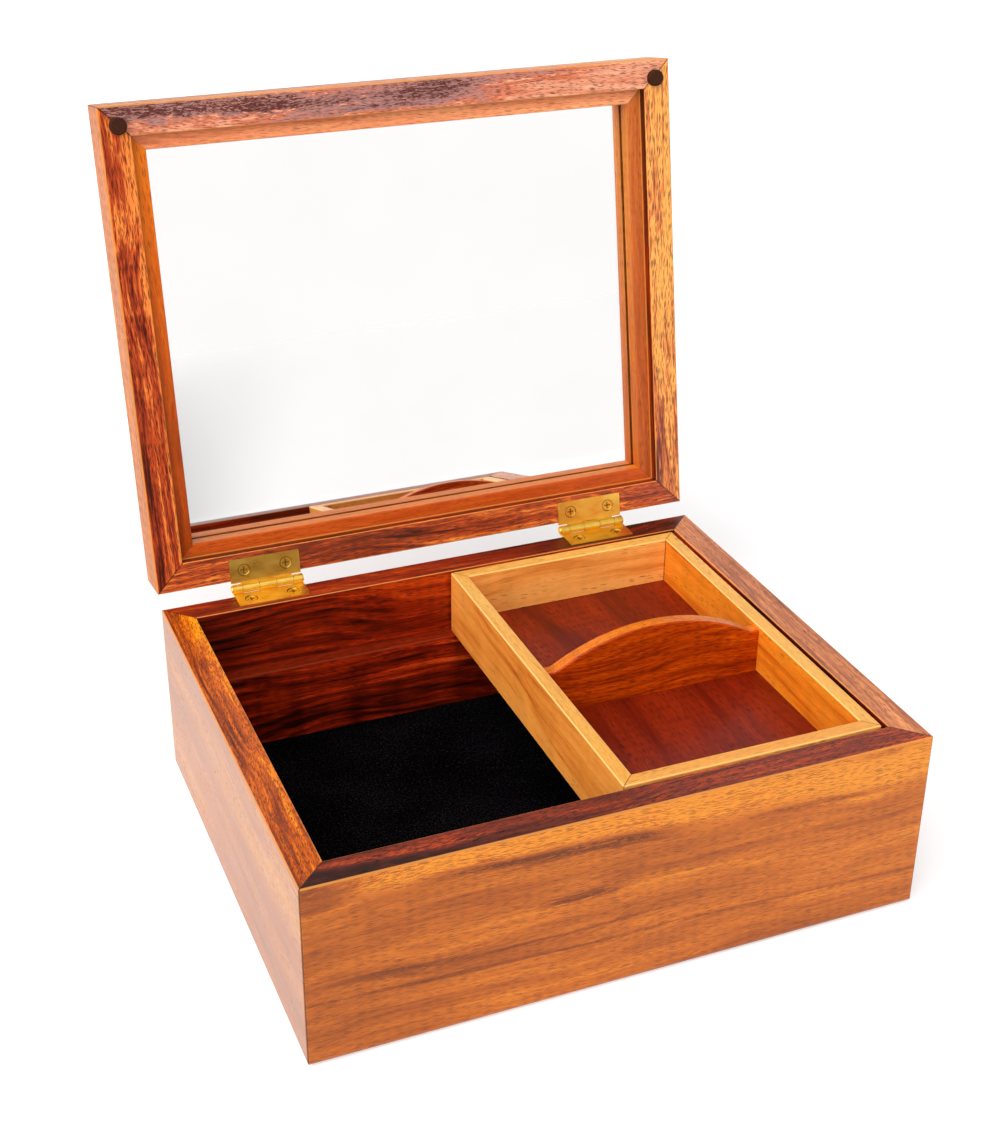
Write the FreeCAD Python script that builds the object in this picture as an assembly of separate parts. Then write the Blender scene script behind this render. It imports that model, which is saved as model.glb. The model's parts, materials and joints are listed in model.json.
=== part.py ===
import FreeCAD, Part
import math
import os

# Jewelry box: a mitred wooden case, a mirrored lid on two brass stop hinges, and a
# tray with an arched divider that slides along two runners above a felt floor.
# Millimetres. +Z up, +X to the right, the front faces -Y.
# The origin is the centre of the underside. The lid stands open, the tray lies to the right.

# Case
case_width = 254.0
case_depth = 206.0
case_height = 80.0
wall_thickness = 12.4
rabbet_width = 6.2
bottom_panel_thickness = 9.5
panel_gap = 0.2
panel_ease = 0.5
corner_round = 1.0
outer_ease = 0.8
inner_ease = 0.4
bottom_round = 3.0

# Runners and floor lining
runner_thickness = 6.35
runner_ease = 0.8
floor_board_thickness = 3.5
floor_felt_thickness = 2.0
lining_gap = 0.4

# Lid
lid_thickness = 23.2
lid_top_round = 3.0
lid_panel_thickness = 9.4
lid_open_angle = 100.0

# Mirror and the strips that hold it
mirror_thickness = 2.0
mirror_gap = 0.5
strip_width = 6.3
strip_setback = 4.7
strip_ease = 0.6

# Bumpers under the lid's front corners
bumper_diameter = 7.0
bumper_from_side = 7.5
bumper_from_front = 8.0
bumper_closed_gap = 0.1
bumper_ease = 0.8

# Hinges
hinge_length = 31.75
hinge_from_side = 48.3
hinge_set_back = 3.2
leaf_thickness = 0.9
leaf_reach = 10.0
leaf_corner = 0.5
middle_knuckle = 7.7
knuckle_gap = 0.15
mortise_depth = 0.6
mortise_play = 0.05
notch_play = 0.15
pin_radius = 1.15
pin_play = 0.05
pin_head_overhang = 0.5
pin_head_length = 0.5
pin_head_ease = 0.35
stop_gap = 0.05
stop_depth = 1.15
stop_overlap = 0.8

# Hinge screws
screw_spacing = 19.0
screw_from_rear = 4.7
screw_head_radius = 2.35
screw_shank_radius = 1.2
screw_length = 9.5
screw_tip = 1.8
screw_sink = 0.35
screw_play = 0.03
recess_width = 0.6
recess_length = 2.7
recess_depth = 0.7

# Tray
tray_width = 111.2
tray_height = 30.0
tray_wall = 6.2
tray_end_gap = 1.7
tray_right_gap = 2.0
tray_running_gap = 0.05
tray_ease = 0.6
tray_floor_thickness = 4.0
tray_floor_rise = 4.5
tray_groove_depth = 3.0
tray_groove_play = 0.1
divider_thickness = 6.2
divider_forward = 1.5
divider_shoulder = 4.0
divider_shoulder_drop = 1.7
divider_arch_rise = 13.0
divider_flare = 2.5
divider_ease = 0.7

# Worked-out places
inner_width = case_width - 2 * wall_thickness
inner_depth = case_depth - 2 * wall_thickness
rear_face = case_depth / 2
bore_radius = pin_radius + pin_play
barrel_radius = bore_radius + leaf_thickness
lid_gap = 2 * (barrel_radius - mortise_depth)
lid_low = case_height + lid_gap
lid_high = lid_low + lid_thickness
axis_y = rear_face + hinge_set_back
axis_z = case_height + lid_gap / 2
mirror_low = lid_high - lid_panel_thickness - mirror_thickness
runner_top = case_height - tray_height - tray_running_gap
tray_low = case_height - tray_height
tray_depth = inner_depth - 2 * tray_end_gap
tray_middle = inner_width / 2 - tray_right_gap - tray_width / 2
tray_floor_low = tray_low + tray_floor_rise
tray_floor_high = tray_floor_low + tray_floor_thickness
cut_margin = 1.0
tolerance = 1e-6

os.makedirs("parts", exist_ok=True)


def vec(x, y, z):
    return FreeCAD.Vector(x, y, z)


def block(low, high):
    """A box between two corners."""
    size = [b - a for a, b in zip(low, high)]
    return Part.makeBox(size[0], size[1], size[2], vec(low[0], low[1], low[2]))


def centred_block(width, depth, low, high):
    """A box centred on the Z axis between two heights."""
    return block((-width / 2, -depth / 2, low), (width / 2, depth / 2, high))


def edges_in_plane(shape, direction, distance):
    """The edges whose ends lie in the plane at a distance along a direction."""
    chosen = []
    for edge in shape.Edges:
        if all(abs(end.Point.dot(direction) - distance) < tolerance for end in edge.Vertexes):
            chosen.append(edge)
    return chosen


def upright_edges(shape):
    """The edges that run along Z."""
    return [edge for edge in shape.Edges if edge.BoundBox.ZLength > tolerance]


def section_face(corners):
    """A face in the YZ plane through (y, z, rounding) corners, each rounded by its own radius."""
    points = [vec(0, y, z) for y, z, rounding in corners]
    edges = []
    joints = []
    for index, (y, z, rounding) in enumerate(corners):
        here = points[index]
        back = (points[index - 1] - here).normalize()
        ahead = (points[(index + 1) % len(points)] - here).normalize()
        if rounding == 0:
            joints.append((here, here))
            continue
        half = back.getAngle(ahead) / 2
        middle = (back + ahead).normalize()
        start = here + back * (rounding / math.tan(half))
        end = here + ahead * (rounding / math.tan(half))
        crown = here + middle * (rounding / math.sin(half) - rounding)
        edges.append(Part.Arc(start, crown, end).toShape())
        joints.append((start, end))
    for index in range(len(joints)):
        leaving = joints[index - 1][1]
        arriving = joints[index][0]
        edges.append(Part.LineSegment(leaving, arriving).toShape())
    return Part.Face(Part.Wire(Part.__sortEdges__(edges)))


def bar(corners, run):
    """The section (y, z, rounding) run along X, centred on the YZ plane."""
    solid = section_face(corners).extrude(vec(run, 0, 0))
    solid.translate(vec(-run / 2, 0, 0))
    return solid


def mitred_side(section, run, reach):
    """A front side of a frame, from a section of (inward, height, rounding), cut at 45 degrees."""
    corners = [(inward - reach, height, rounding) for inward, height, rounding in section]
    heights = [height for inward, height, rounding in section]
    thickness = max(inward for inward, height, rounding in section)
    outer = run / 2 + cut_margin
    inner = run / 2 - thickness - cut_margin
    near = -reach - cut_margin
    far = -reach + thickness + cut_margin
    low = min(heights) - cut_margin
    plan = [(-outer, near), (outer, near), (inner, far), (-inner, far), (-outer, near)]
    wedge = Part.Face(Part.makePolygon([vec(x, y, low) for x, y in plan]))
    wedge = wedge.extrude(vec(0, 0, max(heights) + cut_margin - low))
    return bar(corners, run).common(wedge)


def mitred_frame(section, width, depth, rounding):
    """Four mitred sides of one section, with the frame's upright corners rounded."""
    heights = [height for inward, height, radius in section]
    core = centred_block(width, depth, min(heights) - cut_margin, max(heights) + cut_margin)
    if rounding > 0:
        core = core.makeFillet(rounding, upright_edges(core))
    sides = {}
    for index, name in enumerate(("front", "right", "rear", "left")):
        lengthways = index % 2 == 0
        run = width if lengthways else depth
        reach = (depth if lengthways else width) / 2
        side = mitred_side(section, run, reach)
        side.rotate(vec(0, 0, 0), vec(0, 0, 1), 90 * index)
        sides[name] = side.common(core)
    return sides


def rabbet_panel(low, high, shown):
    """A panel that fills the rabbets of the case's sides, eased around its shown face."""
    inset = 2 * (wall_thickness - rabbet_width + panel_gap)
    panel = centred_block(case_width - inset, case_depth - inset, low, high)
    return panel.makeFillet(panel_ease, edges_in_plane(panel, vec(0, 0, 1), shown))


def turned_open(shape):
    """The closed lid's piece, turned about the hinge axis to where the lid stands open."""
    shape = shape.copy()
    shape.rotate(vec(0, axis_y, axis_z), vec(1, 0, 0), -lid_open_angle)
    return shape


# Hinge pieces, made round the hinge axis with the leaf below it, towards -Y

leaf_low = -barrel_radius
leaf_high = leaf_low + leaf_thickness
end_knuckle = (hinge_length - 3 * middle_knuckle) / 2
knuckle_ends = [
    -hinge_length / 2,
    -hinge_length / 2 + end_knuckle,
    -middle_knuckle / 2,
    middle_knuckle / 2,
    hinge_length / 2 - end_knuckle,
    hinge_length / 2,
]


def knuckle_span(index):
    """Where a knuckle starts and stops along the pin, with its gaps to the knuckles beside it."""
    start = knuckle_ends[index] + (knuckle_gap / 2 if index > 0 else 0)
    stop = knuckle_ends[index + 1] - (knuckle_gap / 2 if index < 4 else 0)
    return start, stop


def rod(radius, start, stop):
    """A cylinder on the hinge axis."""
    return Part.makeCylinder(radius, stop - start, vec(start, 0, 0), vec(1, 0, 0))


def screw_places():
    """The two screws of a leaf: their X and Y from the hinge's middle and axis."""
    return [(side * screw_spacing / 2, -hinge_set_back - screw_from_rear) for side in (-1, 1)]


def screw():
    """A countersunk screw pointing down, its leaf's upper face at height 0."""
    taper = screw_head_radius - screw_shank_radius
    head_low = -screw_sink - taper
    point = -screw_sink - screw_length
    solid = Part.makeCone(screw_shank_radius, screw_head_radius, taper, vec(0, 0, head_low))
    shank_low = point + screw_tip
    shank = Part.makeCylinder(screw_shank_radius, head_low - shank_low, vec(0, 0, shank_low))
    tip = Part.makeCone(screw_shank_radius / 4, screw_shank_radius, screw_tip, vec(0, 0, point))
    solid = solid.fuse([shank, tip]).removeSplitter()
    half = recess_length / 2
    edge = recess_width / 2
    floor = -screw_sink - recess_depth
    slot = block((-half, -edge, floor), (half, edge, 0))
    cross = slot.fuse(block((-edge, -half, floor), (edge, half, 0)))
    return solid.cut(cross)


def screw_hole():
    """The countersink and pilot hole that a screw sits in."""
    wide = screw_head_radius + screw_sink
    narrow = screw_shank_radius
    depth = screw_length + screw_sink + cut_margin
    cone = Part.makeCone(narrow, wide, wide - narrow, vec(0, 0, narrow - wide))
    mouth = Part.makeCylinder(wide, cut_margin)
    pilot = Part.makeCylinder(narrow + screw_play, depth, vec(0, 0, -depth))
    return cone.fuse([mouth, pilot])


def at_screws(make):
    """Two copies of a screw or its hole, where the leaf's screws are."""
    copies = []
    for x, y in screw_places():
        piece = make()
        piece.translate(vec(x, y, leaf_high))
        copies.append(piece)
    return copies


def leaf(own, stopped):
    """A hinge leaf with its knuckles, and the stop heel behind the middle one if it has it."""
    root = -barrel_radius - notch_play
    far = -hinge_set_back - leaf_reach
    plate = block((-hinge_length / 2, far, leaf_low), (hinge_length / 2, root, leaf_high))
    free_corners = [edge for edge in upright_edges(plate) if edge.BoundBox.YMax < far + tolerance]
    plate = plate.makeFillet(leaf_corner, free_corners)
    pieces = []
    for index in own:
        start, stop = knuckle_span(index)
        pieces.append(block((start, root, leaf_low), (stop, 0, leaf_high)))
        pieces.append(rod(barrel_radius, start, stop))
    if stopped:
        pieces.append(stop_heel())
    solid = plate.fuse(pieces)
    solid = solid.cut([rod(bore_radius, -hinge_length, hinge_length)] + at_screws(screw_hole))
    return solid.removeSplitter()


def stop_heel():
    """The heel on the middle knuckle that the open lid's leaf leans back against."""
    start, stop = knuckle_span(2)
    neck = barrel_radius + notch_play
    face = barrel_radius + stop_gap
    back = face + stop_depth
    # (along the open leaf, behind the open leaf)
    heel = [
        (-barrel_radius / 2, bore_radius),
        (barrel_radius, bore_radius),
        (barrel_radius, face),
        (neck + stop_overlap, face),
        (neck + stop_overlap, back),
        (-barrel_radius / 2, back),
    ]
    lean = math.radians(lid_open_angle)
    along = vec(0, -math.cos(lean), math.sin(lean))
    behind = vec(0, math.sin(lean), math.cos(lean))
    points = [along * a + behind * b + vec(start, 0, 0) for a, b in heel]
    return Part.Face(Part.makePolygon(points + points[:1])).extrude(vec(stop - start, 0, 0))


def hinge_pin():
    """The pin through all knuckles, held by a low head at each end."""
    half = hinge_length / 2
    pin = rod(pin_radius, -half, half)
    head_radius = pin_radius + pin_head_overhang
    for side in (-1, 1):
        head = Part.makeCylinder(head_radius, pin_head_length, vec(side * half, 0, 0), vec(side, 0, 0))
        outer = side * (half + pin_head_length)
        rim = edges_in_plane(head, vec(1, 0, 0), outer)
        pin = pin.fuse(head.makeFillet(pin_head_ease, rim))
    return pin.removeSplitter()


def on_case(shape, hinge_x):
    """A hinge piece, moved to its place on the case."""
    shape = shape.copy()
    shape.translate(vec(hinge_x, axis_y, axis_z))
    return shape


def under_lid(shape, hinge_x):
    """A hinge piece, turned over to its place under the closed lid."""
    shape = shape.copy()
    shape.rotate(vec(0, 0, 0), vec(0, 1, 0), 180)
    shape.translate(vec(hinge_x, axis_y, axis_z))
    return shape


def mortise():
    """The pocket and screw holes that a leaf takes in the wood under it."""
    half = hinge_length / 2 + mortise_play
    far = -hinge_set_back - leaf_reach - mortise_play
    pocket = block((-half, far, leaf_low), (half, 0, barrel_radius))
    return pocket.fuse(at_screws(screw_hole))


nodes = {}
hinge_places = {"left": -case_width / 2 + hinge_from_side, "right": case_width / 2 - hinge_from_side}

# Case sides, with a rabbet for the bottom panel
case_section = [
    (0, 0, bottom_round),
    (wall_thickness - rabbet_width, 0, 0),
    (wall_thickness - rabbet_width, bottom_panel_thickness, 0),
    (wall_thickness, bottom_panel_thickness, 0),
    (wall_thickness, case_height, inner_ease),
    (0, case_height, outer_ease),
]
for name, side in mitred_frame(case_section, case_width, case_depth, corner_round).items():
    nodes[name + "_wall"] = side
nodes["bottom_panel"] = rabbet_panel(0, bottom_panel_thickness, 0)

# Runners that the tray slides on, standing on the bottom panel
runner_section = [
    (0, bottom_panel_thickness, 0),
    (runner_thickness, bottom_panel_thickness, 0),
    (runner_thickness, runner_top, runner_ease),
    (0, runner_top, 0),
]
runner_bar = bar([(y - inner_depth / 2, z, radius) for y, z, radius in runner_section], inner_width)
nodes["front_runner"] = runner_bar
nodes["rear_runner"] = runner_bar.copy()
nodes["rear_runner"].rotate(vec(0, 0, 0), vec(0, 0, 1), 180)

# Floor lining between the runners
lining_width = inner_width - 2 * lining_gap
lining_depth = inner_depth - 2 * runner_thickness - 2 * lining_gap
board_high = bottom_panel_thickness + floor_board_thickness
felt_high = board_high + floor_felt_thickness
nodes["floor_board"] = centred_block(lining_width, lining_depth, bottom_panel_thickness, board_high)
nodes["floor_felt"] = centred_block(lining_width, lining_depth, board_high, felt_high)

# Lid, made closed: sides with a rabbet for the top panel, then the mirror and its strips
lid_section = [
    (0, lid_low, outer_ease),
    (wall_thickness, lid_low, inner_ease),
    (wall_thickness, lid_high - lid_panel_thickness, 0),
    (wall_thickness - rabbet_width, lid_high - lid_panel_thickness, 0),
    (wall_thickness - rabbet_width, lid_high, 0),
    (0, lid_high, lid_top_round),
]
lid_nodes = {}
for name, side in mitred_frame(lid_section, case_width, case_depth, corner_round).items():
    lid_nodes["lid_" + name + "_rail"] = side
lid_nodes["lid_panel"] = rabbet_panel(lid_high - lid_panel_thickness, lid_high, lid_high)
lid_nodes["mirror"] = centred_block(
    inner_width - 2 * mirror_gap, inner_depth - 2 * mirror_gap, mirror_low, mirror_low + mirror_thickness
)
strip_section = [
    (0, lid_low + strip_setback, 0),
    (strip_width, lid_low + strip_setback, strip_ease),
    (strip_width, mirror_low, 0),
    (0, mirror_low, 0),
]
for name, side in mitred_frame(strip_section, inner_width, inner_depth, 0).items():
    lid_nodes["mirror_" + name + "_strip"] = side

# Bumpers that the closed lid rests on
bumper_height = lid_gap - bumper_closed_gap
for name, side in (("left", -1), ("right", 1)):
    pad_x = side * (case_width / 2 - bumper_from_side)
    pad_y = -case_depth / 2 + bumper_from_front
    pad_low = lid_low - bumper_height
    pad = Part.makeCylinder(bumper_diameter / 2, bumper_height, vec(pad_x, pad_y, pad_low))
    lid_nodes[name + "_bumper"] = pad.makeFillet(bumper_ease, edges_in_plane(pad, vec(0, 0, 1), pad_low))

# Hinges: the case's leaves have the outer and middle knuckles, the lid's leaves the two between
case_leaf = leaf((0, 2, 4), True)
lid_leaf = leaf((1, 3), False)
for name, hinge_x in hinge_places.items():
    nodes["rear_wall"] = nodes["rear_wall"].cut(on_case(mortise(), hinge_x))
    lid_nodes["lid_rear_rail"] = lid_nodes["lid_rear_rail"].cut(under_lid(mortise(), hinge_x))
    nodes[name + "_hinge_case_leaf"] = on_case(case_leaf, hinge_x)
    nodes[name + "_hinge_pin"] = on_case(hinge_pin(), hinge_x)
    nodes[name + "_hinge_case_screws"] = on_case(Part.makeCompound(at_screws(screw)), hinge_x)
    lid_nodes[name + "_hinge_lid_leaf"] = under_lid(lid_leaf, hinge_x)
    lid_nodes[name + "_hinge_lid_screws"] = under_lid(Part.makeCompound(at_screws(screw)), hinge_x)
for name, shape in lid_nodes.items():
    nodes[name] = turned_open(shape)

# Tray: sides grooved for the floor, the floor, and the arched divider across it
groove_high = tray_floor_high + tray_groove_play
tray_section = [
    (0, tray_low, tray_ease),
    (tray_wall, tray_low, tray_ease),
    (tray_wall, tray_floor_low, 0),
    (tray_wall - tray_groove_depth, tray_floor_low, 0),
    (tray_wall - tray_groove_depth, groove_high, 0),
    (tray_wall, groove_high, 0),
    (tray_wall, case_height, tray_ease),
    (0, case_height, tray_ease),
]
tray_nodes = {}
for name, side in mitred_frame(tray_section, tray_width, tray_depth, tray_ease).items():
    tray_nodes["tray_" + name] = side
tray_inner_width = tray_width - 2 * tray_wall
tray_inner_depth = tray_depth - 2 * tray_wall
tongue = 2 * (tray_groove_depth - panel_gap)
tray_nodes["tray_floor"] = centred_block(
    tray_inner_width + tongue, tray_inner_depth + tongue, tray_floor_low, tray_floor_high
)


def tray_divider():
    """A board on edge whose top rises from a shoulder at each end into one arch."""
    half = tray_inner_width / 2
    shoulder_z = case_height - divider_shoulder_drop
    chord = half - divider_shoulder
    radius = (chord ** 2 + divider_arch_rise ** 2) / (2 * divider_arch_rise)
    centre_z = shoulder_z + divider_arch_rise - radius
    # The flare is a small hollow round between shoulder and arch, touching both
    flare_z = shoulder_z + divider_flare
    flare_x = math.sqrt((radius + divider_flare) ** 2 - (flare_z - centre_z) ** 2)
    flare_centre = vec(flare_x, 0, flare_z)
    inward = (vec(0, 0, centre_z) - flare_centre).normalize()
    downward = vec(0, 0, -1)
    foot = flare_centre + downward * divider_flare
    dip = flare_centre + (downward + inward).normalize() * divider_flare
    touch = flare_centre + inward * divider_flare
    crown = vec(0, 0, shoulder_z + divider_arch_rise)

    def mirrored(point):
        return vec(-point.x, 0, point.z)

    low_right = vec(half, 0, tray_floor_high)
    top_right = vec(half, 0, shoulder_z)
    edges = [
        Part.LineSegment(mirrored(low_right), low_right).toShape(),
        Part.LineSegment(low_right, top_right).toShape(),
        Part.LineSegment(top_right, foot).toShape(),
        Part.Arc(foot, dip, touch).toShape(),
        Part.Arc(touch, crown, mirrored(touch)).toShape(),
        Part.Arc(mirrored(touch), mirrored(dip), mirrored(foot)).toShape(),
        Part.LineSegment(mirrored(foot), mirrored(top_right)).toShape(),
        Part.LineSegment(mirrored(top_right), mirrored(low_right)).toShape(),
    ]
    board = Part.Face(Part.Wire(edges)).extrude(vec(0, divider_thickness, 0))
    top = []
    for edge in board.Edges:
        along_face = edge.BoundBox.YLength < tolerance
        if along_face and edge.BoundBox.ZMin > shoulder_z - tolerance:
            top.append(edge)
    board = board.makeFillet(divider_ease, top)
    board.translate(vec(0, -divider_thickness / 2 - divider_forward, 0))
    return board


tray_nodes["tray_divider"] = tray_divider()
for name, shape in tray_nodes.items():
    shape.translate(vec(tray_middle, 0, 0))
    nodes[name] = shape

for name, shape in nodes.items():
    shape.exportStep("parts/" + name + ".step")
    print(name, len(shape.Solids), round(shape.Volume, 3), shape.isValid())
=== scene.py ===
import json
import math

import bmesh
import bpy
from mathutils import Matrix, Vector, noise


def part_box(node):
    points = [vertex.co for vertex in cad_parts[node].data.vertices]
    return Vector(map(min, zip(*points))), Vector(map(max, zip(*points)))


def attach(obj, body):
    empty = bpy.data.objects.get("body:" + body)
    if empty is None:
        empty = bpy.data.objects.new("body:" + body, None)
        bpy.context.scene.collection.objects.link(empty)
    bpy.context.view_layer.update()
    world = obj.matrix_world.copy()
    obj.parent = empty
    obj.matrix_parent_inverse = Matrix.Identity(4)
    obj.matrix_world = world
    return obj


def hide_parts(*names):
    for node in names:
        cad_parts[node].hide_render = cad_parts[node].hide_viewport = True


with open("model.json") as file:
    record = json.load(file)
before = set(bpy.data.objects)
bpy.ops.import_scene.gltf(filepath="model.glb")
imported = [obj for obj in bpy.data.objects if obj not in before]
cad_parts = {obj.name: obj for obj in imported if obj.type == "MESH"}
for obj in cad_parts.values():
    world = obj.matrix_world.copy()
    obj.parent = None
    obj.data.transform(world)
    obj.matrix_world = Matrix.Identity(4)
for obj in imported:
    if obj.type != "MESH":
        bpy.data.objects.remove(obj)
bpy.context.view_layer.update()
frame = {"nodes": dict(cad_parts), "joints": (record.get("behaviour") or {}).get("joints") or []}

# A wooden jewelry box with a mirrored lid, brass hinges, a sliding tray and a velvet floor.
# Metres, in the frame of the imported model. Wood is drawn in millimetres.

MM = 0.001
PER_METRE = 1000.0

# The photographed view
PHOTO_WIDTH = 1000
PHOTO_HEIGHT = 1124
FOCAL_PIXELS = 1776.3
OPTICAL_CENTRE = (487.17, 555.73)
CAMERA_PLACE = Vector((-0.24792, -0.56807, 0.45898))
CAMERA_AHEAD = Vector((0.33300, 0.81956, -0.46629)).normalized()
CAMERA_RIGHT = Vector((0.92742, -0.37399, 0.00499)).normalized()
SENSOR = 36.0


def add_camera():
    """The camera where the photograph was taken from."""
    data = bpy.data.cameras.new("camera")
    long_side = max(PHOTO_WIDTH, PHOTO_HEIGHT)
    data.sensor_width = SENSOR
    data.lens = SENSOR * FOCAL_PIXELS / long_side
    data.shift_x = (PHOTO_WIDTH / 2 - OPTICAL_CENTRE[0]) / long_side
    data.shift_y = (OPTICAL_CENTRE[1] - PHOTO_HEIGHT / 2) / long_side
    data.clip_start = 0.01
    data.clip_end = 50.0
    camera = bpy.data.objects.new("camera", data)
    back = -CAMERA_AHEAD
    up = back.cross(CAMERA_RIGHT).normalized()
    right = up.cross(back)
    camera.matrix_world = Matrix.Translation(CAMERA_PLACE) @ Matrix((right, up, back)).transposed().to_4x4()
    bpy.context.scene.collection.objects.link(camera)
    bpy.context.scene.camera = camera


# Shader maths

class Field:
    """A value that changes over a surface. Sums and products of it add Math nodes."""

    def __init__(self, finish, socket):
        self.finish = finish
        self.socket = socket

    def worked(self, operation, *values):
        return self.finish.node("ShaderNodeMath", {"operation": operation}, values)

    def __add__(self, other):
        return self.worked("ADD", self, other)

    def __sub__(self, other):
        return self.worked("SUBTRACT", self, other)

    def __rsub__(self, other):
        return self.worked("SUBTRACT", other, self)

    def __mul__(self, other):
        return self.worked("MULTIPLY", self, other)

    def __truediv__(self, other):
        return self.worked("DIVIDE", self, other)

    def __abs__(self):
        return self.worked("ABSOLUTE", self)

    __radd__ = __add__
    __rmul__ = __mul__

    def least(self, other):
        return self.worked("MINIMUM", self, other)

    def most(self, other):
        return self.worked("MAXIMUM", self, other)

    def sine(self):
        return self.worked("SINE", self)

    def step(self, start, stop):
        """0 before start, 1 after stop, smooth between them. Falls where stop is below start."""
        settings = {"interpolation_type": "SMOOTHSTEP"}
        return self.finish.node("ShaderNodeMapRange", settings, {0: self, 1: start, 2: stop})


class Finish:
    """A material that is put together from nodes."""

    def __init__(self, material):
        self.material = material
        self.material.use_nodes = True
        self.tree = self.material.node_tree
        self.tree.nodes.clear()

    def node(self, kind, settings=(), inputs=(), output=0):
        """Adds a node, with its settings first and then its sockets' values or links."""
        made = self.tree.nodes.new(kind)
        for name, value in dict(settings).items():
            if name == "stops":
                self.set_stops(made.color_ramp.elements, value)
            else:
                setattr(made, name, value)
        places = inputs.items() if isinstance(inputs, dict) else enumerate(inputs)
        for place, value in places:
            if isinstance(value, Field):
                self.tree.links.new(value.socket, made.inputs[place])
            else:
                made.inputs[place].default_value = value
        return Field(self, made.outputs[output]) if made.outputs else None

    def set_stops(self, elements, stops):
        while len(elements) < len(stops):
            elements.new(1.0)
        for element, (position, colour) in zip(elements, stops):
            element.position = position
            element.color = colour

    def vector(self, x, y, z):
        return self.node("ShaderNodeCombineXYZ", {}, (x, y, z))

    def ramp(self, value, stops):
        return self.node("ShaderNodeValToRGB", {"stops": stops}, (value,))

    def blend(self, share, first, second, how="MIX"):
        """Two colours mixed by a share."""
        settings = {"data_type": "RGBA", "blend_type": how}
        return self.node("ShaderNodeMix", settings, {0: share, 6: first, 7: second}, 2)

    def cloud(self, place, detail=2.0, roughness=0.5):
        """Noise from 0 to 1."""
        inputs = {"Vector": place, "Scale": 1.0, "Detail": detail, "Roughness": roughness}
        return self.node("ShaderNodeTexNoise", {"noise_dimensions": "3D"}, inputs)

    def bump(self, height, depth, strength=1.0):
        """A surface normal from a height of 0 to 1, for a depth in metres."""
        inputs = {"Strength": strength, "Distance": depth, "Height": height}
        return self.node("ShaderNodeBump", {}, inputs)

    def shine(self, **inputs):
        """Ends the material in one shader, given its sockets by name with _ for a space."""
        named = {name.replace("_", " "): value for name, value in inputs.items()}
        shader = self.node("ShaderNodeBsdfPrincipled", {}, named)
        self.node("ShaderNodeOutputMaterial", {}, {"Surface": shader})
        return self.material


def tone(red, green, blue):
    """A display colour, 0 to 255, as linear light."""
    def linear(part):
        part /= 255
        return part / 12.92 if part <= 0.04045 else ((part + 0.055) / 1.055) ** 2.4
    return (linear(red), linear(green), linear(blue), 1.0)


# Where the pieces are: the lid's own places are those that it has when it is shut

hinge = next(joint for joint in frame["joints"] if joint["name"] == "lid_hinge")
hinge_line = Matrix.Translation(Vector(hinge["pos_m"]))
shutting = Matrix.Rotation(math.radians(hinge["range_deg"][1]), 4, "X")
SHUT = hinge_line @ shutting @ hinge_line.inverted()
STANDING = Matrix.Identity(4)


def placed(finish, bench):
    """X, Y and Z in millimetres on a bench: the case's own frame, or the shut lid's."""
    here = finish.node("ShaderNodeTexCoord", {}, {}, "Object")
    parts = []
    for row in bench.to_3x3():
        weights = [part * PER_METRE for part in row]
        parts.append(finish.node("ShaderNodeVectorMath", {"operation": "DOT_PRODUCT"}, (here, weights), 1))
    shift = bench.translation * PER_METRE
    return [part + offset for part, offset in zip(parts, shift)]


def shut_box(node, bench):
    """A node's lowest and highest corner on its bench, in millimetres."""
    points = [bench @ vertex.co * PER_METRE for vertex in frame["nodes"][node].data.vertices]
    low = Vector([min(point[axis] for point in points) for axis in range(3)])
    high = Vector([max(point[axis] for point in points) for axis in range(3)])
    return low, high


# Wood: each board is drawn along its own run, rise and outward side, on the bench that it lies on
# Widths are in millimetres, and shares from 0 to 1

# How far in from a rim's corner the worn edge and its painted highlight reach, and how strongly
ARRIS_WEAR_AND_HIGHLIGHT_START = 0.95
ARRIS_WEAR_AND_HIGHLIGHT_FULL = 0.7
ARRIS_WEAR_AND_HIGHLIGHT_SHARE = 0.65
INSIDE_FADED = 0.9
INSIDE_FULL = 0.6
EDGE_START = 0.5
EDGE_FULL = 0.9
RIM_START = 0.75
RIM_FULL = 0.35
HAIRLINE = 0.16
HAIRLINE_BARE = 0.02
HAIRLINE_SHARE = 0.7
RING_PITCH = 5.5
RING_ARCH = 60.0
RING_CROWN = 0.3
RING_RAGGED = 5.0
PORE_LENGTH = 5.0
PORE_WIDTH = 0.38
PORE_EDGE = 0.48
PORE_CORE = 0.2
MARK_FADE = 18.0
WANDER = 20.0
GRAIN_DEPTH = 0.06 * MM

# How far apart the noise of two boards lies
FIGURE_STRIDE = 17.31
PORE_STRIDE = 5.17


def look(stops, middle=0.5, lean=(0.0, 0.0), stain=(1.0, 1.0, 1.0), broad=1.1, streak=0.8, line=0.5,
         fibre=0.8, curl=0.1, rings=0.0, pores=0.95, depth=0.8, slant=0.05, marks=()):
    """How one side of a board looks: its tones from dark to light under a stain, and its figure.

    Middle is where the tones lie on the whole, and lean how they shift along the run and up the side.
    Pores are as dense as pores says and as dark as depth says. A mark is a streak along the run, with its
    start, stop, height at the start, height at the stop and half width in millimetres, and its amount.
    """
    stained = []
    for place, colour in stops:
        shares = zip(colour, (*stain, 1.0))
        stained.append((place, tuple(min(1.0, part * share) for part, share in shares)))
    return dict(stops=stained, middle=middle, lean=lean, broad=broad, streak=streak, line=line, fibre=fibre,
                curl=curl, rings=rings, pores=pores, depth=depth, slant=slant, marks=marks)


def tones(*colours):
    """Ramp stops from dark to light, evenly spread."""
    last = len(colours) - 1
    return [(index / last, tone(*colour)) for index, colour in enumerate(colours)]


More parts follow.
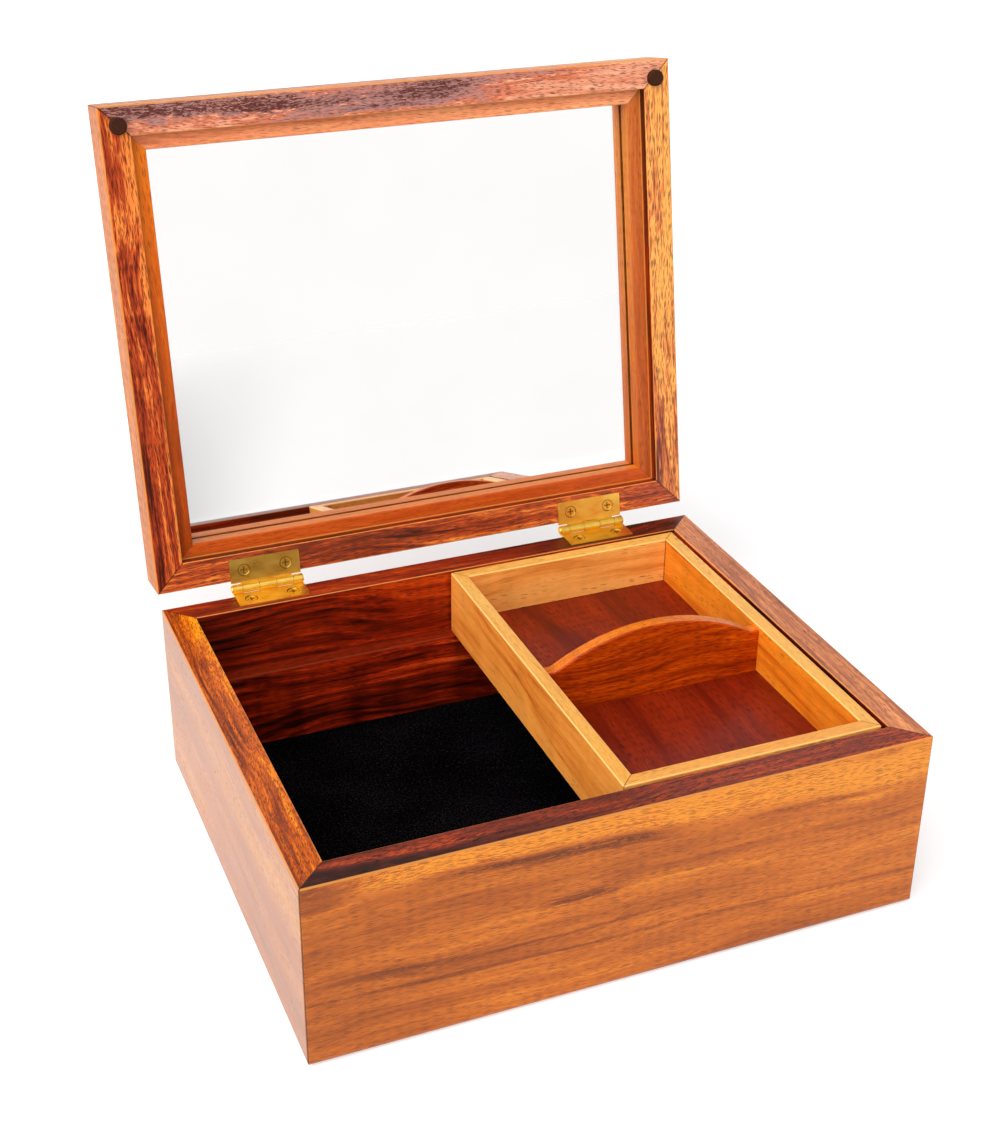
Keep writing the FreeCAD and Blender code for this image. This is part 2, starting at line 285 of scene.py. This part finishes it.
class Board:
    """A board's wood, in millimetres along its run, its rise and its outward thickness."""

    def __init__(self, node, bench, run, rise, outward, seed):
        self.finish = Finish(bpy.data.materials.new(node + "_wood"))
        self.seed = seed
        self.parts = placed(self.finish, bench)
        self.corners = shut_box(node, bench)
        self.run = self.measured(run)
        self.rise = self.measured(rise)
        self.depth = self.measured(outward)
        self.draw_figure()

    def measured(self, name):
        """The field along a signed axis, and where the board starts and stops on it."""
        axis = "xyz".index(name[-1])
        low, high = self.corners[0][axis], self.corners[1][axis]
        if name[0] == "-":
            return -1 * self.parts[axis], -high, -low
        return self.parts[axis], low, high

    def noise(self, along, around, detail=2.0, roughness=0.5, wandering=True):
        """Noise drawn out along the run: waves per millimetre along it and around it."""
        rise, depth = (self.wavy_rise, self.wavy_depth) if wandering else (self.rise[0], self.depth[0])
        start = self.seed * FIGURE_STRIDE
        place = self.finish.vector(self.run[0] * along + start, rise * around + start, depth * around)
        return self.finish.cloud(place, detail, roughness) - 0.5

    def draw_figure(self):
        """The noise that all sides of the board share."""
        wander = self.noise(0.010, 0.016, 1.0, wandering=False) * WANDER
        self.wavy_rise = self.rise[0] + wander
        self.wavy_depth = self.depth[0] + wander
        self.wander = wander
        self.broad = self.noise(0.0045, 0.06)
        self.streak = self.noise(0.012, 0.24, 3.0, 0.6)
        self.line = self.noise(0.03, 0.8)
        self.fibre = self.noise(0.3, 2.2, 2.0, 0.7)
        self.curl = self.noise(0.11, 0.02, 1.0)

    def rings(self):
        """Growth rings that arch along the run, from -1 to 1."""
        run, start, stop = self.run
        along = (run - start) * (1 / (stop - start)) - RING_CROWN
        height = self.wavy_rise + along * along * RING_ARCH + self.streak * RING_RAGGED
        return (height * (math.tau / RING_PITCH)).sine()

    def pores(self, slant, amount):
        """Short dark dashes along the run. An amount above 1 makes them larger."""
        density = 1.15 - amount
        size = max(1.0, amount)
        lifted = self.run[0] * slant
        start = self.seed * PORE_STRIDE
        place = self.finish.vector(
            self.run[0] / PORE_LENGTH + start,
            (self.rise[0] + lifted) / PORE_WIDTH,
            (self.depth[0] + lifted) / PORE_WIDTH,
        )
        inputs = {"Vector": place, "Scale": 1.0, "Randomness": 1.0}
        settings = {"voronoi_dimensions": "3D", "feature": "F1"}
        near = self.finish.node("ShaderNodeTexVoronoi", settings, inputs, "Distance")
        cell = Field(self.finish, near.socket.node.outputs["Color"])
        chance = self.finish.node("ShaderNodeSeparateXYZ", {}, (cell,))
        crowd = chance + self.streak * 2.0 + self.broad * 1.5
        spread = near / (chance * 0.9 + 0.45)
        return spread.step(PORE_EDGE * size, PORE_CORE * size) * crowd.step(density, density + 0.15)

    def mark(self, across, start, stop, low, high, half, amount):
        """A streak from start to stop, feathered along its edges."""
        run = self.run[0]
        middle = (run - start) * ((high - low) / (stop - start)) + low
        feather = self.streak * (half * 1.6) + self.line * (half * 2.2) + self.fibre * (half * 2.6)
        off = abs(across + self.wander * 0.25 - middle) + feather
        fade = min(MARK_FADE, (stop - start) * 0.3)
        ends = run.step(start - fade, start + fade) * run.step(stop + fade, stop - fade)
        dashes = (self.line + self.fibre * 1.5).step(-0.15, 0.15) * 0.7 + 0.3
        return off.step(half * 1.25, half * 0.35) * ends * dashes * (amount * 1.3)

    def side(self, style, across):
        """The colour and the pores of one side, whose height is read along the rise or the depth."""
        field, low, high = across
        run, start, stop = self.run
        share = (run - (start + stop) / 2) * (2 / (stop - start)) * style["lean"][0]
        climb = (field - (low + high) / 2) * (2 / (high - low)) * style["lean"][1]
        value = share + climb + style["middle"]
        for name, figure in (("broad", self.broad), ("streak", self.streak), ("line", self.line)):
            value = value + figure * style[name]
        if style["rings"]:
            value = value + self.rings() * style["rings"]
        for entry in style["marks"]:
            value = value + self.mark(field, *entry)
        colour = self.finish.ramp(value, style["stops"])
        shade = self.fibre * style["fibre"] + self.curl * style["curl"] + 1.0
        colour = self.finish.blend(1.0, colour, shade, "MULTIPLY")
        pores = self.pores(style["slant"], style["pores"])
        return self.finish.blend(pores * style["depth"], colour, style["stops"][0][1]), pores


def wood(node, bench, run, rise, outward, seed, face, rim=None, inside=None, edge=None, mitred=True,
         arris=(232, 150, 70), rough=0.3, gloss=0.3, ease=(0.8, 0.4)):
    """Dresses a board: its outward face, its rim at the top of its rise, its inner face and its edges.

    The arris is the corner of a rim, blended toward a paler arris tone as wear and as a painted highlight;
    ease says how far that reaches on the outside and the inside.
    """
    board = Board(node, bench, run, rise, outward, seed)
    finish = board.finish
    height, _, top = board.rise
    depth, inner, outer = board.depth
    colour, pores = board.side(face, board.rise)
    if inside:
        within = depth.step(inner + INSIDE_FADED, inner + INSIDE_FULL)
        inside_colour, _ = board.side(inside, board.rise)
        colour = finish.blend(within, colour, inside_colour)
    if edge:
        between = (outer - depth).step(EDGE_START, EDGE_FULL) * (depth - inner).step(EDGE_START, EDGE_FULL)
        edge_colour, _ = board.side(edge, board.depth)
        colour = finish.blend(between, colour, edge_colour)
    if rim:
        above = height.step(top - RIM_START, top - RIM_FULL)
        rim_colour, rim_pores = board.side(rim, board.depth)
        colour = finish.blend(above, colour, rim_colour)
        pores = pores * (1 - above) + rim_pores * above
        # Wear and painted highlight: the rim's outer and inner corners are blended toward the arris tone
        corner_out = (outer - depth) + (top - height)
        corner_in = (depth - inner) + (top - height)
        arris_worn_and_lit_out = corner_out.step(ARRIS_WEAR_AND_HIGHLIGHT_START * ease[0], ARRIS_WEAR_AND_HIGHLIGHT_FULL * ease[0])
        arris_worn_and_lit_in = corner_in.step(ARRIS_WEAR_AND_HIGHLIGHT_START * ease[1], ARRIS_WEAR_AND_HIGHLIGHT_FULL * ease[1])
        colour = finish.blend(arris_worn_and_lit_out.most(arris_worn_and_lit_in) * ARRIS_WEAR_AND_HIGHLIGHT_SHARE, colour, tone(*arris))
    if mitred:
        along, start, stop = board.run
        gap = (stop - start) / 2 - (outer - depth) - abs(along - (start + stop) / 2)
        joint = gap.step(HAIRLINE, HAIRLINE_BARE) * HAIRLINE_SHARE
        colour = finish.blend(joint, colour, JOINT_BROWN)
    relief = board.fibre * 0.5 - pores * 0.8
    normal = finish.bump(relief, GRAIN_DEPTH, 0.6)
    roughness = board.line * 0.15 + pores * 0.15 + rough
    made = finish.shine(Base_Color=colour, Roughness=roughness, Normal=normal,
                        Specular_IOR_Level=gloss, Coat_Weight=gloss / 3, Coat_Roughness=0.12)
    dress(node, made)


def dress(node, material):
    """Gives a node of the frame its material."""
    slots = frame["nodes"][node].data.materials
    slots.clear()
    slots.append(material)


JOINT_BROWN = tone(38, 16, 10)
HONEY = tones((112, 58, 34), (170, 92, 48), (206, 120, 60), (236, 156, 74))
DARK_RED = tones((30, 12, 8), (84, 26, 12), (128, 46, 20), (170, 82, 34))
RIM_GOLD = tones((66, 28, 16), (138, 60, 26), (196, 104, 38), (236, 156, 56))
RIM_PURPLE = tones((46, 22, 20), (94, 44, 36), (146, 68, 46), (196, 96, 50))
RIM_PINK = tones((104, 56, 42), (158, 92, 64), (200, 126, 84), (220, 150, 104))
# The lid front rail's rim: dark to pale wood tones, whose lavender-grey second stop is a painted sheen of
# reflected haze
RIM_TONES_AND_PAINTED_SHEEN = tones((94, 48, 42), (176, 130, 124), (206, 110, 74), (234, 164, 130))
RIM_RED = tones((52, 20, 12), (112, 40, 20), (160, 64, 28), (206, 116, 50))
ORANGE = tones((150, 62, 26), (186, 84, 36), (208, 104, 48), (226, 128, 64))
TRAY_GOLD = tones((150, 78, 28), (212, 128, 52), (238, 160, 78), (244, 176, 94))
TRAY_RED = tones((60, 14, 6), (112, 32, 14), (150, 54, 26), (176, 80, 44))
DIVIDER = tones((84, 26, 6), (136, 48, 10), (172, 72, 18), (204, 110, 40))

# The pale bands along the top of the front wall, then its dark streaks
FRONT_MARKS = (
    (-107, 30, 76, 74, 6.5, 0.54),
    (20, 140, 73, 70, 9.5, 0.46),
    (-140, -108, 74, 74, 6, -0.25),
    (-76, 13, 70.5, 65.5, 2.8, -0.6),
    (-34, -6, 46, 46, 2.0, -0.6),
    (-140, 140, 28.5, 17.5, 0.9, -0.35),
    (-104, -62, 34, 33, 2.0, -0.35),
    (-60, 24, 31.8, 30.2, 0.8, -0.3),
    (94, 112, 77.5, 77.5, 1.6, -0.35),
    (52, 98, 63.2, 62, 1.4, -0.35),
)

# The lid's front rail: dark heartwood from the left to past the middle, and a paler streak under it
HEARTWOOD_MARKS = (
    (-150, -50, 100.4, 99.6, 5.4, -0.9),
    (-62, 26, 99.6, 99.4, 5.4, -0.62),
    (-60, 50, 93.5, 96.5, 4.6, -0.55),
    (8, 82, 100.5, 102.0, 3.4, -0.5),
    (-112, -50, 93.0, 92.5, 3.2, 0.06),
)

EVEN = (0.0, 0.0)
OUTSIDE_STAIN = (0.92, 0.78, 0.3)
RUNNER_ARRIS = (130, 44, 18)
# The tray rims' pale arris tone is part wear and part a painted highlight
TRAY_ARRIS = (250, 200, 120)
inside_look = look(DARK_RED, 0.4, EVEN, (1.6, 0.7, 0.2), broad=1.4, streak=1.6, line=0.9, curl=0.35,
                   rings=0.08, pores=0.4)


def dress_case():
    """The case's walls, panel, runners and lining board."""
    face = look(HONEY, 0.54, (0.08, 0.05), (0.93, 0.79, 0.31), marks=FRONT_MARKS, depth=0.65)
    rim = look(RIM_PURPLE, 0.42, (0.4, -0.1), (0.8, 0.48, 0.3), streak=1.2, line=1.2, fibre=1.2, pores=1.3,
               marks=((-124, -58, 94, 96, 2.8, 0.75),), slant=0.12)
    wood("front_wall", STANDING, "x", "z", "-y", 1, face, rim, inside_look, gloss=0.22)
    plain = look(HONEY, 0.5, EVEN, OUTSIDE_STAIN)
    rim = look(RIM_RED, 0.38, (-0.3, -0.05), (0.85, 0.38, 0.1), streak=1.2, line=1.2)
    wood("rear_wall", STANDING, "x", "z", "y", 2, plain, rim, inside_look)
    face = look(HONEY, 0.6, EVEN, (0.72, 0.79, 0.76), streak=0.6, line=0.3, fibre=0.35, pores=0.3,
                depth=0.35)
    rim = look(RIM_GOLD, 0.63, (0.04, -0.3), (1.28, 0.96, 0.1), streak=1.5, line=1.3, fibre=1.2, pores=1.3,
               depth=0.8, slant=0.15)
    wood("left_wall", STANDING, "y", "z", "-x", 3, face, rim, inside_look)
    rim = look(RIM_PINK, 0.5, EVEN, (1.2, 1.15, 0.9), line=1.0, slant=-0.06)
    wood("right_wall", STANDING, "y", "z", "x", 4, plain, rim, inside_look)
    underside = look(HONEY, 0.4, EVEN, OUTSIDE_STAIN)
    wood("bottom_panel", STANDING, "x", "y", "-z", 5, underside, mitred=False)
    curly = look(DARK_RED, 0.36, EVEN, (1.9, 0.9, 0.5), broad=1.4, streak=1.6, line=1.0, curl=1.6,
                 rings=0.16)
    ledge = look(DARK_RED, 0.5, EVEN, (1.2, 0.7, 0.4))
    for seed, (name, inward) in enumerate((("front_runner", "y"), ("rear_runner", "-y")), 6):
        wood(name, STANDING, "x", "z", inward, seed, curly, ledge, mitred=False, arris=RUNNER_ARRIS,
             gloss=0.08)
    wood("floor_board", STANDING, "x", "y", "z", 8, look(HONEY, 0.3), mitred=False)


def dress_lid():
    """The lid's rails, panel and the strips round the mirror."""
    outer = look(HONEY, 0.6, EVEN, (0.98, 0.85, 0.2))
    # The front rail's rim carries a painted sheen in its middle tones, in place of gloss
    rim = look(RIM_TONES_AND_PAINTED_SHEEN, 0.82, (0.1, 0.0), broad=0.4, streak=0.45, fibre=1.0, line=0.8,
               marks=HEARTWOOD_MARKS, slant=0.1)
    wood("lid_front_rail", SHUT, "x", "-z", "-y", 11, outer, rim, inside_look, gloss=0.06)
    rim = look(RIM_RED, 0.6, (-0.1, 0.0), (1.58, 1.62, 1.25), streak=1.4, line=1.5, fibre=1.2, pores=1.15)
    wood("lid_rear_rail", SHUT, "x", "-z", "y", 12, outer, rim, inside_look)
    rim = look(RIM_RED, 0.6, (-0.2, -0.25), (1.5, 1.4, 1.5), broad=0.7, streak=1.5, line=1.8, fibre=1.3,
               pores=1.2, depth=0.85)
    wood("lid_left_rail", SHUT, "y", "-z", "-x", 13, outer, rim, inside_look, gloss=0.04)
    rim = look(RIM_GOLD, 0.92, (-0.25, 0.1), (1.18, 1.22, 2.0), streak=1.8, line=1.9, fibre=1.1, pores=1.15,
               depth=0.85)
    wood("lid_right_rail", SHUT, "y", "-z", "x", 14, outer, rim, inside_look)
    panel = look(HONEY, 0.55, EVEN, OUTSIDE_STAIN, broad=1.6, streak=1.2)
    wood("lid_panel", SHUT, "x", "y", "z", 15, panel, mitred=False)
    strips = (
        ("mirror_front_strip", "x", "-y", 0.1, (1.65, 2.6, 5.0)),
        ("mirror_rear_strip", "x", "y", 0.0, (0.98, 0.72, 0.3)),
        ("mirror_left_strip", "y", "-x", -0.5, (1.15, 0.95, 0.1)),
        ("mirror_right_strip", "y", "x", -0.2, (0.95, 1.03, 0.85)),
    )
    figure = {"broad": 0.6, "streak": 0.6, "line": 0.7}
    for seed, (name, run, outward, lean, stain) in enumerate(strips, 16):
        strip = look(ORANGE, 0.5, (lean, 0.0), stain, pores=0.45, **figure)
        golden = look(ORANGE, 0.6, (lean, 0.0), (1.2, 1.4, 0.25), pores=0.3, **figure)
        wood(name, SHUT, run, "-z", outward, seed, strip, strip, golden, gloss=0.15)


def dress_tray():
    """The tray's sides, floor and divider."""
    pale = (0.86, 0.94, 0.74)
    amber = (0.82, 0.75, 0.5)
    sides = (
        ("tray_front", "x", "-y", 0.7, (1.0, 0.95, 0.8), amber),
        ("tray_right", "y", "x", 0.65, (1.02, 0.68, 0.16), pale),
        ("tray_rear", "x", "y", 0.9, (1.1, 1.03, 0.92), pale),
        # The left side's lighter middle and paler stain are painted light, brightening its outer face for
        # light it lacks inside the case
        ("tray_left", "y", "-x", 0.97, (1.1, 0.88, 0.58), pale),
    )
    for seed, (name, run, outward, middle, stain, rim_stain) in enumerate(sides, 21):
        face = look(TRAY_GOLD, middle, EVEN, stain, broad=2.4, streak=1.8, line=0.6, fibre=0.5, pores=0.2,
                    curl=0.3)
        rim = look(TRAY_GOLD, 0.8, EVEN, rim_stain, broad=1.0, streak=0.8, line=0.6, pores=0.1)
        wood(name, STANDING, run, "z", outward, seed, face, rim, arris=TRAY_ARRIS, ease=(0.6, 0.6))
    face = look(TRAY_RED, 0.5, EVEN, (0.82, 0.45, 0.12), broad=1.1, streak=0.6, pores=0.5)
    wood("tray_floor", STANDING, "y", "x", "z", 25, face, mitred=False, rough=0.4, gloss=0.22)
    face = look(DIVIDER, 0.5, EVEN, (1.4, 1.05, 0.15), streak=1.0, line=0.9)
    top = look(ORANGE, 0.6, EVEN, (1.08, 1.2, 0.2))
    wood("tray_divider", STANDING, "x", "z", "-y", 26, face, edge=top, mitred=False, gloss=0.12)


# Brass, glass, velvet and felt

BRASS = (tone(240, 184, 74), tone(252, 210, 96))
SCREW_PAINTED_SHADE = tone(70, 40, 14)
SLOT_EDGE = 0.34
SLOT_CORE = 0.2


def screw_places(node, bench):
    """The middle and the head's radius of each of the two screws of a node, in millimetres."""
    low, high = shut_box(node, bench)
    radius = (high.y - low.y) / 2
    level = (low.y + high.y) / 2
    return [(low.x + radius, level, radius), (high.x - radius, level, radius)]


def brass(name, bench, screws, seed, slotted=False):
    """Lacquered brass, rolled along the hinge, with painted shade round the screws' heads for their
    countersinks, or in their crossed slots.
    """
    finish = Finish(bpy.data.materials.new(name))
    x, y, z = placed(finish, bench)
    patches = finish.cloud(finish.vector(x * 0.12 + seed, y * 0.2, z * 0.2), 2.0, 0.5)
    rolled = finish.cloud(finish.vector(x * 0.2, y * 5.0, z * 5.0 + seed), 1.0)
    colour = finish.blend(patches.step(0.3, 0.75), *BRASS)
    # Painted shade: the countersinks round the screws' heads and the screws' crossed slots are darkened
    for middle, level, radius in screw_places(screws, bench):
        across, up = abs(x - middle), abs(y - level)
        off = finish.vector(across, up, 0.0)
        off = finish.node("ShaderNodeVectorMath", {"operation": "LENGTH"}, (off,), "Value")
        if slotted:
            shade = across.least(up).step(SLOT_EDGE, SLOT_CORE) * off.step(0.72 * radius, 0.6 * radius)
        else:
            shade = off.step(1.0 * radius, 1.04 * radius) * off.step(1.24 * radius, 1.16 * radius)
        colour = finish.blend(shade * 0.8, colour, SCREW_PAINTED_SHADE)
    roughness = patches * 0.1 + rolled * 0.1 + 0.2
    normal = finish.bump(rolled, 0.02 * MM, 0.3)
    return finish.shine(Base_Color=colour, Metallic=1.0, Roughness=roughness, Normal=normal)


def dress_hinges():
    """The leaves, pins and screws of both hinges."""
    for seed, side in enumerate(("left", "right")):
        for part, bench in (("case", STANDING), ("lid", SHUT)):
            leaf, screws = f"{side}_hinge_{part}_leaf", f"{side}_hinge_{part}_screws"
            metal = brass(leaf + "_brass", bench, screws, seed * 9.0)
            dress(leaf, metal)
            dress(screws, brass(screws + "_brass", bench, screws, seed * 9.0, slotted=True))
            if part == "case":
                dress(side + "_hinge_pin", metal)


def made_piece(name, mesh, material):
    """Puts a finished mesh into the scene as a piece of one material."""
    data = bpy.data.meshes.new(name)
    mesh.normal_update()
    mesh.to_mesh(data)
    mesh.free()
    data.materials.append(material)
    piece = bpy.data.objects.new(name, data)
    bpy.context.scene.collection.objects.link(piece)
    return piece


SILVER_INSET = 0.2
SILVER_DEPTH = 0.05
SILVER_FILM = 0.04
SILVER_CORNER = 1.5
SILVER_STEPS = 6


def dress_mirror():
    """A clear pane, with faint smears from wiping."""
    finish = Finish(bpy.data.materials.new("mirror_pane"))
    x, y, z = placed(finish, SHUT)
    wiped = finish.cloud(finish.vector(x * 0.012, y * 0.03, z), 3.0)
    roughness = wiped.step(0.6, 0.9) * 0.02
    clear = (1.0, 0.998, 0.995, 1.0)
    dress("mirror", finish.shine(Base_Color=clear, Roughness=roughness, IOR=1.5, Transmission_Weight=1.0))


def silver():
    """Mirror silver that has aged a little unevenly."""
    finish = Finish(bpy.data.materials.new("mirror_silver"))
    x, y, z = placed(finish, SHUT)
    aged = finish.cloud(finish.vector(x * 0.02, y * 0.02, z), 3.0)
    colour = finish.blend(aged.step(0.4, 0.7), tone(250, 249, 248), tone(248, 247, 246))
    return finish.shine(Base_Color=colour, Metallic=1.0, Roughness=0.0)


def silver_outline(low, high):
    """The silver's round-cornered outline, a little inside the pane's, from its rear right corner on."""
    margin = SILVER_INSET + SILVER_CORNER
    left, right = low.x + margin, high.x - margin
    front, rear = low.y + margin, high.y - margin
    outline = []
    for quarter, (x, y) in enumerate(((right, rear), (left, rear), (left, front), (right, front))):
        for step in range(SILVER_STEPS + 1):
            turn = (quarter + step / SILVER_STEPS) * math.pi / 2
            outline.append((x + SILVER_CORNER * math.cos(turn), y + SILVER_CORNER * math.sin(turn)))
    return outline


def silver_mirror():
    """The silver film, just inside the back of the pane."""
    low, high = shut_box("mirror", SHUT)
    outline = silver_outline(low, high)
    level = high.z - SILVER_DEPTH
    opened = SHUT.inverted()
    mesh = bmesh.new()
    back = [mesh.verts.new(opened @ (Vector((*point, level)) * MM)) for point in outline]
    seen = [mesh.verts.new(opened @ (Vector((*point, level - SILVER_FILM)) * MM)) for point in outline]
    mesh.faces.new(back)
    mesh.faces.new(seen[::-1])
    for index in range(len(outline)):
        mesh.faces.new((seen[index - 1], seen[index], back[index], back[index - 1]))
    piece = made_piece("mirror_silver", mesh, silver())
    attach(piece, "lid")


def dress_bumpers():
    """Dark brown felt pads with a matted face."""
    finish = Finish(bpy.data.materials.new("bumper_felt"))
    x, y, z = placed(finish, SHUT)
    matted = finish.cloud(finish.vector(x * 1.4, y * 1.4, z * 1.4), 3.0, 0.7)
    colour = finish.ramp(matted, tones((34, 16, 10), (62, 32, 20), (92, 52, 34)))
    normal = finish.bump(matted, 0.3 * MM, 0.8)
    felt = finish.shine(Base_Color=colour, Roughness=0.9, Normal=normal, Specular_IOR_Level=0.1)
    dress("left_bumper", felt)
    dress("right_bumper", felt)


def velvet():
    """Black velvet with a short nap and a few specks of lint."""
    finish = Finish(bpy.data.materials.new("black_velvet"))
    x, y, z = placed(finish, STANDING)
    here = finish.vector(x, y, z)
    nap = finish.cloud(finish.vector(x * 1.2, y * 1.2, z), 2.0, 0.7)
    brushed = finish.cloud(finish.vector(x * 0.02, y * 0.03, z), 2.0)
    pile = (nap - 0.5) * 1.5 + (brushed - 0.5) * 0.4 + 0.5
    colour = finish.ramp(pile, tones((0, 0, 0), (4, 3, 4), (40, 38, 41)))
    settings = {"voronoi_dimensions": "3D", "feature": "F1"}
    near = finish.node("ShaderNodeTexVoronoi", settings, {"Vector": here, "Scale": 0.75}, "Distance")
    speck = near.step(0.26, 0.1) * nap.step(0.5, 0.65)
    colour = finish.blend(speck * 0.3, colour, tone(84, 82, 90))
    normal = finish.bump(nap, 0.4 * MM, 0.7)
    return finish.shine(Base_Color=colour, Roughness=0.95, Normal=normal, Specular_IOR_Level=0.0)


NAP_PITCH = 1.5 * MM
NAP_HEIGHT = 0.15 * MM
NAP_LUMPS_PER_METRE = 90.0
VELVET_ROUND = 0.8 * MM


def lay_velvet():
    """The velvet on the floor board: a napped top with a rounded edge, over a flat back."""
    low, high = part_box("floor_felt")
    across = round((high.x - low.x) / NAP_PITCH)
    along = round((high.y - low.y) / NAP_PITCH)
    mesh = bmesh.new()
    rows = []
    for j in range(along + 1):
        row = []
        for i in range(across + 1):
            x = low.x + (high.x - low.x) * i / across
            y = low.y + (high.y - low.y) * j / along
            edge = min(x - low.x, high.x - x, y - low.y, high.y - y)
            inward = max(0.0, VELVET_ROUND - edge)
            drop = VELVET_ROUND - math.sqrt(VELVET_ROUND ** 2 - inward ** 2)
            lumps = 0.5 + 0.5 * noise.noise(Vector((x, y, 0.0)) * NAP_LUMPS_PER_METRE)
            row.append(mesh.verts.new((x, y, high.z - drop - NAP_HEIGHT * lumps)))
        rows.append(row)
    for near, far in zip(rows, rows[1:]):
        for a, b, c, d in zip(near, near[1:], far[1:], far):
            mesh.faces.new((a, b, c, d))
    rim = rows[0] + [row[-1] for row in rows[1:]] + rows[-1][-2::-1] + [row[0] for row in rows[-2:0:-1]]
    foot = [mesh.verts.new((vert.co.x, vert.co.y, low.z)) for vert in rim]
    for index in range(len(rim)):
        mesh.faces.new((rim[index - 1], foot[index - 1], foot[index], rim[index]))
    mesh.faces.new(foot[::-1])
    piece = made_piece("velvet_floor", mesh, velvet())
    piece.data.shade_smooth()
    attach(piece, "case")
    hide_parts("floor_felt")


# The studio: a white floor, a pale room and soft lamps
# The floor's span is in metres, and its fades are in millimetres from the box's middle

FLOOR_SPAN = 14.0
FLOOR_WHITE = (0.76, 0.755, 0.755, 1.0)
FLOOR_GLOW = 0.34
FRONT_DIMMING = 0.27
FRONT_FADE = (-500.0, -850.0)
SIDE_DIMMING = 0.38
SIDE_START = -75.0
SIDE_SLOPE = 0.2
SIDE_FADE = (0.1, -0.08)
FAR_FADE = (-7000.0, -500.0)
PATCH_DIMMING = 0.22
PATCH_FRONT = (100.0, 220.0)
PATCH_REAR = (450.0, 300.0)
PATCH_MIDDLE = 60.0
PATCH_SIDES = (240.0, 140.0)
ROOM_GLOW = 0.75
ROOM_SEEN_GLOW = 0.29
WHITE = (1.0, 1.0, 1.0, 1.0)
OVERHEAD_GREY = (0.6, 0.6, 0.61, 1.0)
BLACK = (0.0, 0.0, 0.0, 1.0)


def rays(finish, kind):
    """1 for the rays of one kind."""
    return finish.node("ShaderNodeLightPath", {}, {}, kind)


def seen_rays(finish):
    """1 for the rays that show the background: to the eye, off gloss or through glass."""
    to_eye = rays(finish, "Is Camera Ray")
    off_gloss = rays(finish, "Is Glossy Ray")
    through_glass = rays(finish, "Is Transmission Ray")
    return to_eye.most(off_gloss).most(through_glass)


def add_floor():
    """A white floor that keeps the box's shadow.

    Rays other than the camera's, such as the mirror's, find its front dimmer, and most so to the left:
    painted shade on the floor. A patch behind the box glows less: a painted shadow behind the box.
    """
    finish = Finish(bpy.data.materials.new("studio_floor"))
    x, y, _ = placed(finish, STANDING)
    # Painted shade: for rays other than the camera's the floor's front is darker, most so to the left
    ahead = y.step(*FRONT_FADE) * (1 - rays(finish, "Is Camera Ray"))
    aside = (x - SIDE_START) / y * -1.0 - SIDE_SLOPE
    dim = aside.step(*SIDE_FADE) * y.step(*FAR_FADE) * ahead * SIDE_DIMMING
    lit = finish.node("ShaderNodeBsdfDiffuse", {}, {"Color": finish.blend(dim, FLOOR_WHITE, BLACK)})
    # Painted shadow: the floor right behind the box glows less
    patch = y.step(*PATCH_FRONT) * y.step(*PATCH_REAR) * abs(x - PATCH_MIDDLE).step(*PATCH_SIDES)
    strength = FLOOR_GLOW - ahead * FRONT_DIMMING - patch * PATCH_DIMMING
    glow = finish.node("ShaderNodeEmission", {}, {"Strength": seen_rays(finish) * strength})
    both = finish.node("ShaderNodeAddShader", {}, (lit, glow))
    finish.node("ShaderNodeOutputMaterial", {}, {"Surface": both})
    half = FLOOR_SPAN / 2
    corners = [(-half, -half, 0), (half, -half, 0), (half, half, 0), (-half, half, 0)]
    data = bpy.data.meshes.new("studio_floor")
    data.from_pydata(corners, [], [(0, 1, 2, 3)])
    data.materials.append(finish.material)
    floor = bpy.data.objects.new("studio_floor", data)
    bpy.context.scene.collection.objects.link(floor)


def add_room():
    """A pale room that is white towards the horizon and greyer overhead."""
    world = bpy.data.worlds.new("studio_room")
    bpy.context.scene.world = world
    finish = Finish(world)
    direction = finish.node("ShaderNodeTexCoord", {}, {}, "Generated")
    height = finish.node("ShaderNodeSeparateXYZ", {}, (direction,), 2)
    colour = finish.blend(height.step(0.1, 0.7), WHITE, OVERHEAD_GREY)
    strength = seen_rays(finish) * ROOM_SEEN_GLOW + ROOM_GLOW
    room = finish.node("ShaderNodeBackground", {}, {"Color": colour, "Strength": strength})
    finish.node("ShaderNodeOutputWorld", {}, {"Surface": room})


def lamp(name, kind, place, aim, **settings):
    """A lamp at a place that faces an aim."""
    data = bpy.data.lights.new(name, kind)
    for setting, value in settings.items():
        setattr(data, setting, value)
    made = bpy.data.objects.new(name, data)
    made.location = place
    made.rotation_euler = (Vector(aim) - Vector(place)).to_track_quat("-Z", "Y").to_euler()
    bpy.context.scene.collection.objects.link(made)


def add_studio():
    """The floor, the room, a broad key from the front left and a panel over the left rear of the floor."""
    add_floor()
    add_room()
    lamp("broad_key", "SUN", (-0.75, -0.55, 1.0), (0.0, 0.0, 0.0), energy=3.3, angle=math.radians(80.0))
    lamp("rear_panel", "AREA", (-0.9, 0.9, 0.9), (-0.5, 0.4, 0.0), energy=2.5, size=0.8)
    bpy.context.scene.view_settings.view_transform = "Standard"


add_camera()
add_studio()
dress_case()
dress_lid()
dress_tray()
dress_hinges()
dress_mirror()
silver_mirror()
dress_bumpers()
lay_velvet()
